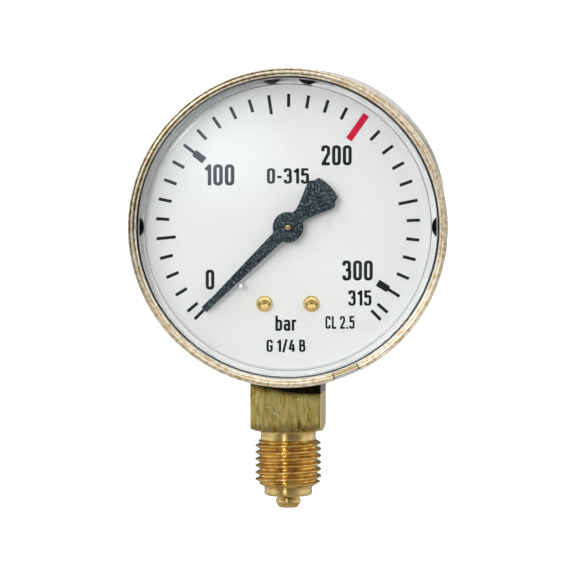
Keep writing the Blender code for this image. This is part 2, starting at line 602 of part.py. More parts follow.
def make_tube_end():
    """The cap on the tube's free end, with a tab forward to the link, and its pin."""
    brass = material("tube_end_brass", (0.72, 0.56, 0.26), 1.0, 0.35)
    steel = material("tip_pin_steel", (0.55, 0.55, 0.55), 1.0, 0.3)
    tab_front = LINK_LEVEL[0] - 0.15
    tip = polar(COIL_RADIUS, TIP_REST)
    cap = rounded([(-1.5, -1.6), (1.5, -1.6), (1.5, 1.6), (-1.5, 1.6)], 0.6)
    sheet("tube_end", [cap], (COIL_FRONT - TUBE_HALF_WIDTH, tab_front), brass, tip_pivot, tip, TIP_REST)
    turned("tip_pin", [(0, LINK_LEVEL[1] + 0.15), (0.8, LINK_LEVEL[1] + 0.15), (0.8, LINK_LEVEL[1] + 0.05),
                       (ARBOR_RADIUS, LINK_LEVEL[1] + 0.05), (ARBOR_RADIUS, tab_front + 0.05),
                       (0, tab_front + 0.05)], steel, tip_pivot, (*tip, 0))


def make_link():
    """A bar with a close hole at the tube end and a clearance hole at the sector's pin."""
    steel = material("link_steel", (0.55, 0.55, 0.55), 1.0, 0.3)
    far = Vector(polar(TAIL_LENGTH, TAIL_REST, SECTOR_PIVOT)) - Vector(polar(COIL_RADIUS, TIP_REST))
    length, angle = far.length, math.degrees(math.atan2(far.y, far.x))
    end = 1.25
    outline = arc(end, 90, 270, 8) + arc(end, -90, 90, 8, (length, 0))
    holes = [circle(ARBOR_RADIUS + PIVOT_CLEARANCE), circle(ARBOR_RADIUS + 0.2, 16, (length, 0))]
    sheet("link", [outline, *holes], LINK_LEVEL, steel, link_pivot, turn=angle)


# Assembly

for leftover in list(bpy.data.objects):
    bpy.data.objects.remove(leftover)
bpy.context.scene.collection.children.link(gauge)
bpy.context.scene.collection.children.link(cutters)

dial_axis = empty("dial_axis", None)
dial_axis.location.z = DIAL_HEIGHT * MM
dial_axis.rotation_euler.x = math.radians(90)
pointer_pivot = empty("pointer_pivot", dial_axis)
sector_pivot = empty("sector_pivot", dial_axis, SECTOR_PIVOT)
tip_pivot = empty("tip_pivot", dial_axis)
link_pivot = empty("link_pivot", tip_pivot, polar(COIL_RADIUS, TIP_REST))
bpy.context.view_layer.update()

make_socket()
make_throttle_screw()
make_case()
make_plug()
make_case_screws()
make_ring()
make_window()
make_dial()
make_stop_pin()
make_dial_screws()
make_plates()
make_pillars()
make_movement_screws()
make_pointer_shaft()
make_pointer()
make_hairspring()
make_sector()
make_tube()
make_tube_end()
make_link()
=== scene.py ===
import json
import math

import bmesh
import bpy
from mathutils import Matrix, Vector


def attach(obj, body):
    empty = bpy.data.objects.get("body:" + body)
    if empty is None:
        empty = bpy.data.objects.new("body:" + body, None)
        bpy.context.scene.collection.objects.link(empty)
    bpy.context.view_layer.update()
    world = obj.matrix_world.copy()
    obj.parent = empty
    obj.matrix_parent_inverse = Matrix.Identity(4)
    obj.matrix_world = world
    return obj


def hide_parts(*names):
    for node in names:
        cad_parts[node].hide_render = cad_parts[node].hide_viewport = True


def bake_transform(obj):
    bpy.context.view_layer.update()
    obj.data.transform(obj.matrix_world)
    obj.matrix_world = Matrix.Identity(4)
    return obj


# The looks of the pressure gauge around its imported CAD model. Sizes are in millimetres: u right,
# v up and w forward from the dial centre, or x, y, z from the sealing face on the stem axis.

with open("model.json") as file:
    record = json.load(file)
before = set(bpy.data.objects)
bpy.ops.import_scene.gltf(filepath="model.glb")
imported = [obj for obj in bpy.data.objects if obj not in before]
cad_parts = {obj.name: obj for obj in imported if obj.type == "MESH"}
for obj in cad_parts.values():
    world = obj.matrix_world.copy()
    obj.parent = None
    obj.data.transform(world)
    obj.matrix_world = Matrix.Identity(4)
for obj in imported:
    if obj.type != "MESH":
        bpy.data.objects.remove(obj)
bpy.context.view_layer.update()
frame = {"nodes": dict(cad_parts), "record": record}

MM = 0.001
DIAL_HEIGHT = 54.0
RING_RADIUS, FRONT, BACK = 31.25, 18.0, -9.5
CASE_RADIUS, CASE_SHEET = 30.2, 0.6
DIAL_REAR, DIAL_FRONT, DIAL_RADIUS = 10.7, 11.2, 29.1
POINTER_REAR, POINTER_FRONT, POINTER_REST = 13.5, 13.95, 134.6
STOP_PIN, DIAL_SCREW, CASE_SCREW = (-9.2, -11.5), (4.6, -15.15), (4.4, -22.3)
PLUG_HEIGHT, POCKET_HEIGHT = 14.0, -22.3
JOINT_MIDDLE, JOINT_WIDTH = -68.0, 10.0     # the ring's joint, in degrees counter-clockwise from the right
SQUARE, SQUARE_TURN, SQUARE_TOP = 14.0, -4.5, 23.7
SHOULDER, NECK, THREAD_TOP, COLLAR_TOP, COLLAR = 13.0, 5.5, 11.2, 1.75, 4.75
PITCH, THREAD_RADIUS = 1.337, 6.5785
COIL_RADIUS, TUBE_REAR, TUBE_FRONT = 16.5, -5.6, 2.2
SECTOR_PIVOT, SECTOR_TAIL, TIP_SWING = 13.2, 8.0, 0.048 * 270


# Shapes

def on_dial(u, v, w):
    return Vector((u, -w, DIAL_HEIGHT + v)) * MM


def on_stem(x, y, z):
    return Vector((x, y, z)) * MM


def polar(radius, degrees, centre=(0.0, 0.0)):
    """A point at this angle, counter-clockwise from the right."""
    angle = math.radians(degrees)
    return centre[0] + radius * math.cos(angle), centre[1] + radius * math.sin(angle)


def clock(radius, degrees):
    """A point at this angle, clockwise from the top."""
    return polar(radius, 90 - degrees)


def arc(radius, start, end, steps, centre=(0.0, 0.0)):
    return [polar(radius, start + (end - start) * i / steps, centre) for i in range(steps + 1)]


def circle(radius, steps=48, centre=(0.0, 0.0)):
    return arc(radius, 0, 360, steps, centre)[:-1]


def rounded(corners, closed=True, steps=5):
    """Corners are (x, y) or (x, y, radius); those with a radius are rounded by short chords."""
    points = []
    for i, (x, y, *radius) in enumerate(corners):
        if not radius or (not closed and i in (0, len(corners) - 1)):
            points.append((x, y))
            continue
        here = Vector((x, y))
        back = Vector(corners[i - 1][:2]) - here
        onward = Vector(corners[(i + 1) % len(corners)][:2]) - here
        reach = radius[0] / math.tan(back.angle(onward) / 2)
        reach = min(reach, 0.48 * back.length, 0.48 * onward.length)
        first, last = here + back.normalized() * reach, here + onward.normalized() * reach
        for k in range(steps + 1):
            t = k / steps
            points.append(tuple((1 - t) ** 2 * first + 2 * t * (1 - t) * here + t * t * last))
    return points


def bridge(shape, near, far):
    """Faces between two rows of points; a row of one point is a tip."""
    for i in range(max(len(near), len(far))):
        corners = [near[i % len(near)], near[(i + 1) % len(near)], far[(i + 1) % len(far)], far[i % len(far)]]
        shape.faces.new(list(dict.fromkeys(corners)))


def solid(name, shape):
    """An object for this closed bmesh, facing out."""
    bmesh.ops.recalc_face_normals(shape, faces=shape.faces)
    mesh = bpy.data.meshes.new(name)
    shape.to_mesh(mesh)
    shape.free()
    made = bpy.data.objects.new(name, mesh)
    bpy.context.scene.collection.objects.link(made)
    return made


def grid(name, rows, loop=False):
    """A solid from rows of points, each row a closed loop or a tip."""
    shape = bmesh.new()
    made = [[shape.verts.new(point) for point in row] for row in rows]
    for near, far in zip(made, made[1:] + (made[:1] if loop else [])):
        bridge(shape, near, far)
    return solid(name, shape)


def turned(name, profile, place=on_dial, centre=(0, 0), steps=96):
    """A profile of (radius, level) turned about the axis. It ends on the axis, or closes on itself."""
    rows = []
    for radius, level in profile:
        count = steps if radius > 0 else 1
        rows.append([place(*polar(radius, 360 * i / steps, centre), level) for i in range(count)])
    return grid(name, rows, loop=profile[0][0] > 0)


def settled(made, source):
    """Gives the object the mesh that the source object evaluates to."""
    bpy.context.view_layer.update()
    mesh = bpy.data.meshes.new_from_object(source.evaluated_get(bpy.context.evaluated_depsgraph_get()))
    made.modifiers.clear()
    made.data = mesh
    return made


def combine(made, operation, *others):
    for other in others:
        join = made.modifiers.new("join", "BOOLEAN")
        join.operation, join.object, join.solver = operation, other, "EXACT"
    settled(made, made)
    for other in others:
        bpy.data.objects.remove(other)
    return made


def drawn(name, curve, place):
    """The curve's solid as a mesh, with each of its points put in place."""
    source = bpy.data.objects.new(name, curve)
    bpy.context.scene.collection.objects.link(source)
    made = settled(bpy.data.objects.new(name, bpy.data.meshes.new(name)), source)
    bpy.data.objects.remove(source)
    bpy.context.scene.collection.objects.link(made)
    shape = bmesh.new()
    shape.from_mesh(made.data)
    bmesh.ops.remove_doubles(shape, verts=shape.verts, dist=1e-4)
    for point in shape.verts:
        point.co = place(point.co)
    bmesh.ops.recalc_face_normals(shape, faces=shape.faces)
    shape.to_mesh(made.data)
    shape.free()
    return made


def plate(name, outlines, levels, bevel=0.06, turn=0.0, centre=(0, 0)):
    """A flat piece between two levels with eased edges: the first outline is its edge."""
    curve = bpy.data.curves.new(name, "CURVE")
    curve.dimensions, curve.fill_mode = "2D", "BOTH"
    curve.extrude = (levels[1] - levels[0]) / 2 - bevel
    curve.bevel_depth, curve.offset, curve.bevel_resolution = bevel, -bevel, 1
    for outline in outlines:
        spline = curve.splines.new("POLY")
        spline.points.add(len(outline) - 1)
        for point, (u, v) in zip(spline.points, outline):
            point.co = (u, v, 0, 1)
        spline.use_cyclic_u = True
    angle = math.radians(turn)

    def place(point):
        u = point.x * math.cos(angle) - point.y * math.sin(angle) + centre[0]
        v = point.x * math.sin(angle) + point.y * math.cos(angle) + centre[1]
        return on_dial(u, v, point.z + sum(levels) / 2)

    return drawn(name, curve, place)


def block(name, low, high, ease=0.0):
    shape = bmesh.new()
    bmesh.ops.create_cube(shape, size=1)
    for point in shape.verts:
        point.co = on_stem(*[a + (b - a) * (c + 0.5) for a, b, c in zip(low, high, point.co)])
    if ease:
        bmesh.ops.bevel(shape, geom=shape.edges, offset=ease * MM, segments=2, affect="EDGES")
    return solid(name, shape)


def piece(made, finish, body="case", stands_for=None, sharp=35):
    """Shades the piece, gives it its finish and hangs it on its body."""
    made.data.shade_smooth()
    made.data.set_sharp_from_angle(angle=math.radians(sharp))
    made.data.materials.clear()
    made.data.materials.append(finish)
    if stands_for:
        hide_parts(stands_for)
    if body:
        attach(made, body)
    return made


# Finishes

BLACK, WHITE = (0, 0, 0), (1, 1, 1)
MARK_SPREAD = 0.0004        # marks that run round the dial are long: they change slowly with the angle


class Finish:
    """A Principled material with nodes for its colour, roughness and fine relief."""

    def __init__(self, name, metallic=0.0, roughness=0.4):
        self.material = bpy.data.materials.new(name)
        self.material.use_nodes = True
        self.nodes, self.links = self.material.node_tree.nodes, self.material.node_tree.links
        self.shader = self.nodes["Principled BSDF"]
        self.shader.inputs["Metallic"].default_value = metallic
        self.shader.inputs["Roughness"].default_value = roughness
        self.place = self.nodes.new("ShaderNodeTexCoord").outputs["Object"]

    def node(self, kind, inputs, **settings):
        made = self.nodes.new(kind)
        for key, value in settings.items():
            setattr(made, key, value)
        for key, value in inputs.items():
            if isinstance(value, bpy.types.NodeSocket):
                self.links.new(value, made.inputs[key])
            else:
                made.inputs[key].default_value = value
        return made.outputs[0]

    def math(self, operation, first, second=0.0):
        return self.node("ShaderNodeMath", {0: first, 1: second}, operation=operation)

    def span(self, value, low, high, first=0.0, last=1.0):
        """The value between low and high, as a share from first to last."""
        return self.node("ShaderNodeMapRange", {
            "Value": value, "From Min": low, "From Max": high, "To Min": first, "To Max": last})

    def apart(self, u=0.0):
        """Distance from the line along the dial axis at u, how far right and up of it, and the depth."""
        parts = self.nodes.new("ShaderNodeSeparateXYZ")
        self.links.new(self.place, parts.inputs[0])
        right = self.math("SUBTRACT", parts.outputs[0], u * MM)
        up = self.math("SUBTRACT", parts.outputs[2], DIAL_HEIGHT * MM)
        squares = self.math("ADD", self.math("MULTIPLY", right, right), self.math("MULTIPLY", up, up))
        return self.math("SQRT", squares), right, up, parts.outputs[1]

    def about_dial(self):
        """Coordinates for marks that run round the dial axis. Keeps the distance, direction and depth."""
        self.distance, right, up, self.depth = self.apart()
        self.rightward = self.math("DIVIDE", right, self.distance)
        self.upward = self.math("DIVIDE", up, self.distance)
        return self.node("ShaderNodeCombineXYZ", {
            0: self.math("ADD", self.distance, self.math("MULTIPLY", self.depth, 1.3)),
            1: self.math("MULTIPLY", self.rightward, MARK_SPREAD),
            2: self.math("MULTIPLY", self.upward, MARK_SPREAD)})

    def noise(self, size, stretch=(1, 1, 1), detail=4.0, place=None, rough=0.55):
        """Noise with features of this size in millimetres, drawn out along an axis where stretch is low."""
        moved = self.node("ShaderNodeMapping", {"Vector": place or self.place, "Scale": stretch})
        return self.node("ShaderNodeTexNoise", {"Vector": moved, "Scale": 1 / (size * MM), "Detail": detail,
                                                "Roughness": rough})

    def ramp(self, value, *stops):
        """A colour ramp through (position, colour) stops."""
        made = self.nodes.new("ShaderNodeValToRGB")
        elements = made.color_ramp.elements
        while len(elements) < len(stops):
            elements.new(0.5)
        for element, (position, color) in zip(elements, stops):
            element.position, element.color = position, (*color, 1)
        self.links.new(value, made.inputs[0])
        return made.outputs[0]

    def mix(self, share, first, second):
        made = self.nodes.new("ShaderNodeMix")
        made.data_type = "RGBA"
        for key, value in ((0, share), (6, first), (7, second)):
            if isinstance(value, bpy.types.NodeSocket):
                self.links.new(value, made.inputs[key])
            else:
                made.inputs[key].default_value = value if key == 0 else (*value, 1)
        return made.outputs[2]

    def color(self, value):
        self.links.new(value, self.shader.inputs["Base Color"])
        return self

    def rough(self, value, low, high):
        self.links.new(self.span(value, 0.0, 1.0, low, high), self.shader.inputs["Roughness"])
        return self

    def grooved(self, axis, amount):
        """Fine grooves round this axis, which draw highlights out across them."""
        along = self.nodes.new("ShaderNodeTangent")
        along.direction_type, along.axis = "RADIAL", axis
        self.shader.inputs["Anisotropic"].default_value = amount
        self.shader.inputs["Anisotropic Rotation"].default_value = 0.25
        self.links.new(along.outputs[0], self.shader.inputs["Tangent"])
        return self

    def relief(self, value, depth):
        """Relief of this depth in millimetres."""
        bump = self.node("ShaderNodeBump", {"Height": value, "Distance": depth * MM, "Strength": 1.0})
        self.links.new(bump, self.shader.inputs["Normal"])
        return self


def machined(name, dark, light, rough, marks, stretch=(1, 1, 1), around=False, metallic=1.0):
    """Turned, drawn or milled metal: tone that varies slowly, and fine marks along the work."""
    made = Finish(name, metallic)
    place = made.about_dial() if around else None
    cloud = made.noise(2.4, detail=5.0)
    fine = made.noise(marks, stretch, 5.0, place)
    tone = made.mix(0.35, made.ramp(cloud, (0.32, dark), (0.66, light)),
                    made.ramp(fine, (0.3, dark), (0.7, light)))
    made.color(tone)
    return made.rough(fine, *rough).relief(fine, 0.004).material


def stem_mill():
    """The square: streaked by the cutter, tarnished in patches, and with a painted shadow of the ring close
    under the case.
    """
    made = Finish("stem_mill", metallic=1.0)
    patches = made.noise(2.2, (1, 1, 0.65), 7.0, rough=0.66)
    streaks = made.noise(0.5, (1, 1, 0.18), 5.0)
    dots = made.noise(0.5, (1, 1, 0.8), 1.0)
    tone = made.ramp(patches, (0.36, (0.24, 0.13, 0.01)), (0.45, (0.66, 0.48, 0.11)),
                     (0.53, (0.58, 0.50, 0.19)), (0.66, (0.84, 0.62, 0.18)))
    cutter = made.ramp(streaks, (0.42, (0.16, 0.09, 0.006)), (0.58, (0.90, 0.72, 0.30)))
    tone = made.mix(0.3, tone, cutter)
    tone = made.mix(made.ramp(dots, (0.70, BLACK), (0.75, WHITE)), tone, (0.90, 0.76, 0.44))
    # Painted shadow: a near-black crescent just under the case stands for the ring's shadow on the square.
    distance = made.apart(4.8)[0]
    painted_ring_shadow = made.span(distance, 33.1 * MM, 33.6 * MM, 0.95, 0.0)
    made.color(made.mix(painted_ring_shadow, tone, (0.012, 0.008, 0.002)))
    return made.rough(patches, 0.27, 0.35).relief(streaks, 0.02).material


def stem_turned():
    """The collar, the neck and the face under the square, with turning lines."""
    made = Finish("stem_turned", metallic=1.0)
    clouds = made.noise(2.2, (1, 1, 0.6), 5.0)
    lines = made.noise(0.16, (0.03, 0.03, 1), 3.0)
    tone = made.ramp(clouds, (0.38, (0.54, 0.36, 0.10)), (0.50, (0.68, 0.49, 0.17)),
                     (0.62, (0.78, 0.60, 0.26)))
    made.color(made.mix(0.3, tone, made.ramp(lines, (0.40, (0.40, 0.26, 0.08)), (0.60, (0.84, 0.70, 0.42)))))
    return made.rough(lines, 0.26, 0.35).relief(lines, 0.02).grooved("Z", 0.9).material


def stem_thread():
    """The thread, redder and finer than the rest of the stem."""
    made = Finish("stem_thread", metallic=1.0)
    clouds = made.noise(1.5, (1, 1, 0.6), 5.0)
    lines = made.noise(0.2, (0.04, 0.04, 1), 3.0)
    tone = made.ramp(clouds, (0.36, (0.42, 0.22, 0.03)), (0.50, (0.64, 0.40, 0.10)),
                     (0.64, (0.80, 0.56, 0.20)))
    made.color(made.mix(0.3, tone, made.ramp(lines, (0.40, (0.50, 0.29, 0.05)), (0.60, (0.84, 0.63, 0.28)))))
    return made.rough(lines, 0.24, 0.31).relief(lines, 0.004).grooved("Z", 0.9).material


def ring_satin():
    """Brass plating: two grooves tarnished and darkened further by painted shade at the upper left, the outer
    edge painted grey there, and painted shade at the joint's ends.
    """
    made = Finish("ring_satin", metallic=0.75)
    around = made.about_dial()
    brushed = made.noise(0.2, (1, 1, 1), 4.0, around)
    flecks = made.noise(0.9, (1, 1, 1), 4.0, rough=0.7)
    front = made.ramp(flecks, (0.42, (0.62, 0.46, 0.25)), (0.50, (0.93, 0.80, 0.60)),
                      (0.58, (1.0, 0.94, 0.83)))
    side = made.ramp(flecks, (0.40, (0.80, 0.65, 0.42)), (0.60, (0.92, 0.81, 0.60)))
    forward = made.span(made.depth, -17.7 * MM, -17.55 * MM, 1.0, 0.0)
    marks = made.ramp(brushed, (0.42, (0.46, 0.33, 0.14)), (0.54, (0.93, 0.83, 0.64)))
    tone = made.mix(0.35, made.mix(forward, side, front), marks)

    band = made.span(made.distance, 29.5 * MM, 31.5 * MM)
    grooves = made.ramp(band, (0.20, BLACK), (0.26, WHITE), (0.38, WHITE), (0.44, BLACK),
                        (0.58, BLACK), (0.63, WHITE), (0.74, WHITE), (0.80, BLACK))
    # Painted light: toward the upper left the grooves get painted shade on top of their tarnish, and the
    # front of the outer edge is painted grey.
    upper_left = made.math("SUBTRACT", made.math("MULTIPLY", made.upward, 0.66),
                           made.math("MULTIPLY", made.rightward, 0.75))
    painted_light_side = made.span(upper_left, 0.3, 0.8, 0.12, 1.0)
    broken = made.ramp(flecks, (0.40, WHITE), (0.60, (0.8, 0.8, 0.8)))
    groove_tarnish_and_shade = made.math("MULTIPLY", made.math("MULTIPLY", grooves, painted_light_side), broken)
    tone = made.mix(groove_tarnish_and_shade, tone, (0.05, 0.035, 0.008))
    outermost = made.ramp(band, (0.80, BLACK), (0.84, WHITE))
    painted_light_rim = made.math("MULTIPLY", outermost, made.math("MULTIPLY", painted_light_side, forward))
    tone = made.mix(painted_light_rim, tone, (0.42, 0.42, 0.38))

    # Painted shade: the joint's two ends are painted dark as the shade in their gaps, and the lip between
    # them is tinted browner.
    joint = Vector(polar(1.0, JOINT_MIDDLE))
    cosine = made.math("ADD", made.math("MULTIPLY", made.rightward, joint.x),
                       made.math("MULTIPLY", made.upward, joint.y))
    off = made.span(made.math("ARCCOSINE", cosine), 0.0, math.radians(JOINT_WIDTH))
    tone = made.mix(made.ramp(off, (0.45, (0.6, 0.6, 0.6)), (0.47, BLACK)), tone, (0.42, 0.28, 0.10))
    ends = made.ramp(off, (0.455, BLACK), (0.47, WHITE), (0.50, WHITE), (0.515, BLACK))
    made.color(made.mix(ends, tone, (0.02, 0.015, 0.01)))
    return made.rough(brushed, 0.30, 0.42).relief(brushed, 0.02).grooved("Y", 0.5).material


milled_brass, turned_brass, thread_brass = stem_mill(), stem_turned(), stem_thread()
gold = ring_satin()
steel = machined("case_satin", (0.60, 0.61, 0.61), (0.78, 0.78, 0.76), (0.36, 0.50), 0.3,
                 around=True, metallic=0.7)
zinc = machined("screw_zinc", (0.48, 0.50, 0.52), (0.66, 0.66, 0.62), (0.22, 0.38), 0.25)
bright_brass = machined("screw_bright", (0.58, 0.38, 0.10), (0.92, 0.72, 0.34), (0.08, 0.18), 0.3)
movement_brass = machined("movement_satin", (0.52, 0.37, 0.13), (0.74, 0.56, 0.26), (0.28, 0.44), 0.22,
                          (1, 1, 0.15))
movement_steel = machined("movement_turned", (0.40, 0.41, 0.42), (0.62, 0.62, 0.61), (0.18, 0.32), 0.12,
                          (1, 0.1, 1))
spring_bronze = machined("spring_rolled", (0.58, 0.36, 0.14), (0.80, 0.56, 0.28), (0.20, 0.34), 0.15,
                         (1, 0.1, 1))
tube_bronze = machined("tube_drawn", (0.50, 0.28, 0.12), (0.74, 0.46, 0.24), (0.24, 0.40), 0.3, around=True)
throttle_brass = machined("throttle_turned", (0.50, 0.34, 0.11), (0.76, 0.57, 0.25), (0.24, 0.38), 0.15,
                          (0.05, 0.05, 1))


def dial_enamel():
    made = Finish("dial_enamel", roughness=0.42)
    cloud, orange_peel = made.noise(14.0, detail=3.0), made.noise(0.35, detail=3.0)
    made.color(made.ramp(cloud, (0.3, (0.775, 0.775, 0.765)), (0.7, (0.815, 0.812, 0.80))))
    return made.rough(orange_peel, 0.34, 0.46).relief(orange_peel, 0.004).material


def print_ink(name, dark, light):
    made = Finish(name, roughness=0.45)
    made.shader.inputs["Specular IOR Level"].default_value = 0.15
    grain = made.noise(0.25, detail=3.0)
    return made.color(made.ramp(grain, (0.35, dark), (0.7, light))).rough(grain, 0.38, 0.55).material


def pointer_matt():
    made = Finish("pointer_matt", roughness=0.6)
    made.shader.inputs["Specular IOR Level"].default_value = 0.12
    speckle, patchy = made.noise(0.42, detail=3.0, rough=0.7), made.noise(1.6, detail=3.0)
    tone = made.ramp(speckle, (0.44, (0.005, 0.009, 0.011)), (0.52, (0.022, 0.034, 0.038)),
                     (0.62, (0.20, 0.25, 0.27)))
    patches = made.ramp(patchy, (0.3, (0.006, 0.009, 0.011)), (0.7, (0.03, 0.040, 0.043)))
    return made.color(made.mix(0.3, tone, patches)).rough(speckle, 0.5, 0.72).relief(speckle, 0.012).material


def pin_moulded():
    made = Finish("pin_moulded", roughness=0.35)
    grain = made.noise(0.5, detail=3.0)
    made.color(made.ramp(grain, (0.3, (0.80, 0.80, 0.78)), (0.7, (0.88, 0.88, 0.86))))
    return made.rough(grain, 0.3, 0.45).material


def plug_moulded():
    made = Finish("plug_moulded", roughness=0.55)
    grain, flow = made.noise(0.2, detail=3.0), made.noise(3.0, detail=3.0)
    made.color(made.ramp(flow, (0.3, (0.028, 0.028, 0.03)), (0.7, (0.05, 0.05, 0.052))))
    return made.rough(grain, 0.45, 0.65).relief(grain, 0.01).material


def window_clear():
    """Clear plastic, which lets light straight through to the dial."""
    made = Finish("window_clear", roughness=0.02)
    made.shader.inputs["IOR"].default_value = 1.49
    made.shader.inputs["Transmission Weight"].default_value = 1.0
    haze = made.noise(9.0, detail=2.0)
    made.color(made.ramp(haze, (0.3, (0.965, 0.975, 0.975)), (0.7, (0.985, 0.99, 0.99))))
    made.rough(haze, 0.0, 0.03)
    shadow = made.nodes.new("ShaderNodeLightPath").outputs["Is Shadow Ray"]
    through = made.node("ShaderNodeBsdfTransparent", {"Color": (0.96, 0.97, 0.97, 1)})
    glass = made.node("ShaderNodeMixShader", {0: shadow, 1: made.shader.outputs[0], 2: through})
    made.links.new(glass, made.nodes["Material Output"].inputs["Surface"])
    return made.material


enamel, matt, clear = dial_enamel(), pointer_matt(), window_clear()
pin_white, rubber = pin_moulded(), plug_moulded()
ink = print_ink("print_black", (0.004, 0.005, 0.005), (0.016, 0.018, 0.018))
red = print_ink("print_red", (0.56, 0.002, 0.036), (0.68, 0.006, 0.052))


# Stem

def stem_columns():
    """The stem's columns: (angle, distance to the edge of the spanner square, its corners eased)."""
    ease, half, steps = 0.28, SQUARE / 2, 27
    columns = []
    for side in range(4):
        flat = [(half, -half + ease + (SQUARE - 2 * ease) * i / steps) for i in range(steps + 1)]
        corner = arc(ease, 0, 90, 6, (half - ease, half - ease))[1:-1]
        for x, y in flat + corner:
            angle = math.degrees(math.atan2(y, x)) + 90 * side + SQUARE_TURN
            columns.append((angle, math.hypot(x, y)))
    return columns


def thread_radius(angle, level):
    """A right-hand 55 degree thread with rounded crests and roots, run out at both ends."""
    flank, crest, depth = math.radians(55 / 2), 0.137329 * PITCH, 0.640327 * PITCH
    tangent, drop = crest * math.cos(flank), crest * (1 - math.sin(flank))
    first_crest, run_out = 1.218, 1.5
    phase = abs((level - first_crest - PITCH * angle / 360 + PITCH / 2) % PITCH - PITCH / 2)
    if phase < tangent:
        cut = crest - math.sqrt(crest ** 2 - phase ** 2)
    elif phase > PITCH / 2 - tangent:
        cut = depth - crest + math.sqrt(crest ** 2 - (PITCH / 2 - phase) ** 2)
    else:
        cut = drop + (phase - tangent) / math.tan(flank)
    lower = COLLAR + 0.15 + max(0.0, level - COLLAR_TOP) * run_out
    upper = NECK + 0.02 + max(0.0, THREAD_TOP - level) * run_out
    return min(THREAD_RADIUS - cut, lower, upper)


def stem_rows():
    """Rows from the top of the bore down to the end of the pin, and up the outside to the square's top."""
    columns, half, thread_rows, bore_top = stem_columns(), SQUARE / 2, 170, 20.0

    def row(radius_of, level_of):
        """A row whose radius and level depend on the column."""
        return [on_stem(*polar(radius_of(angle, edge), angle), level_of(edge)) for angle, edge in columns]

    def plain(radius, level):
        """A round row."""
        return row(lambda angle, edge: radius, lambda edge: level)

    def slope(edge):
        """The chamfer that cuts the square's corners."""
        return SHOULDER + max(0.0, edge - half) * math.tan(math.radians(15))

    bore = [(1.25, bore_top), (1.25, 3.1), (1.5, 2.9), (1.5, -2.2), (1.62, -2.4)]
    pin = [(1.78, -2.4), (1.9, -2.33), (2.44, -1.45), (2.5, -1.32), (2.5, -1.1), (2.42, -0.9), (2.2, -0.45),
           (2.16, -0.2), (2.22, -0.06), (2.34, 0.0)]
    collar = [(4.2, 0.0), (4.42, 0.05), (4.62, 0.18), (4.73, 0.38), (COLLAR, 0.6),
              (COLLAR, COLLAR_TOP - 0.25), (COLLAR - 0.1, COLLAR_TOP - 0.1), (COLLAR - 0.1, COLLAR_TOP)]
    rows = [[on_stem(0, 0, bore_top)]] + [plain(*point) for point in bore + pin + collar]
    for i in range(1, thread_rows):
        level = COLLAR_TOP + (THREAD_TOP - COLLAR_TOP) * i / thread_rows
        rows.append(row(lambda angle, edge, z=level: thread_radius(angle, z), lambda edge, z=level: z))
    neck = [(NECK, THREAD_TOP), (NECK, THREAD_TOP + 0.08), (NECK, 12.5), (NECK + 0.05, 12.8),
            (NECK + 0.2, SHOULDER)]
    rows += [plain(*point) for point in neck]
    rows.append(row(lambda angle, edge: min(edge, half) - 0.1, lambda edge: SHOULDER))
    rows.append(row(lambda angle, edge: min(edge, half + 0.02), lambda edge: SHOULDER + 0.02))
    rows.append(row(lambda angle, edge: edge - 0.12, lambda edge: slope(edge) + 0.02))
    rows.append(row(lambda angle, edge: edge - 0.02, lambda edge: slope(edge) + 0.09))
    rows.append(row(lambda angle, edge: edge, lambda edge: slope(edge) + 0.22))
    for level in (15.0, 17.0, 19.0, 21.0, SQUARE_TOP - 0.2):
        rows.append(row(lambda angle, edge: edge, lambda edge, z=level: z))
    rows.append(row(lambda angle, edge: edge - 0.2, lambda edge: SQUARE_TOP))
    rows.append([on_stem(0, 0, SQUARE_TOP)])
    return rows


def make_stem():
    """The stem, and inside the case the block and the horn that carry the movement and the tube."""
    stem = grid("stem", stem_rows())
    body = block("stem_block", (-6.4, -7, SQUARE_TOP - 0.1), (6.4, 7, 35.6), 0.15)
    horn = block("stem_horn", (1.0, 3.7, 34.6), (6.3, 6.9, 39.6), 0.12)
    combine(stem, "UNION", body, horn)
    cuts = [block("cut_step", (-8, -8, 31.0), (8, -4.0, 38)),
            block("cut_seat", (0, 4.05, 36.45), (4.2, 8, 38.95))]
    for side in (-1, 1):
        cuts.append(turned("cut_front", [(0, 9), (0.85, 9), (0.85, 0), (0, -0.4)],
                           centre=(side * 4.6, -20.7), steps=24))
        cuts.append(turned("cut_back", [(0, -3), (1.3, -3.5), (1.3, BACK), (0, BACK)],
                           centre=(side * CASE_SCREW[0], CASE_SCREW[1]), steps=24))
    combine(stem, "DIFFERENCE", *cuts)
    piece(stem, turned_brass, stands_for="socket", sharp=28)
    stem.data.materials.append(milled_brass)
    stem.data.materials.append(thread_brass)
    for face in stem.data.polygons:
        level = face.center.z / MM
        if level > SHOULDER + 0.03:
            face.material_index = 1
        elif COLLAR_TOP < level < THREAD_TOP:
            face.material_index = 2


make_stem()
throttle = turned("throttle_screw_turned", rounded([
    (0.3, 2.8), (1.4, 2.8, 0.1), (1.4, -1.6, 0.1), (1.1, -1.9, 0.05), (0.8, -1.9, 0.05), (0.3, -1.2)]),
    on_stem, steps=48)
piece(throttle, throttle_brass, stands_for="throttle_screw")


# Case

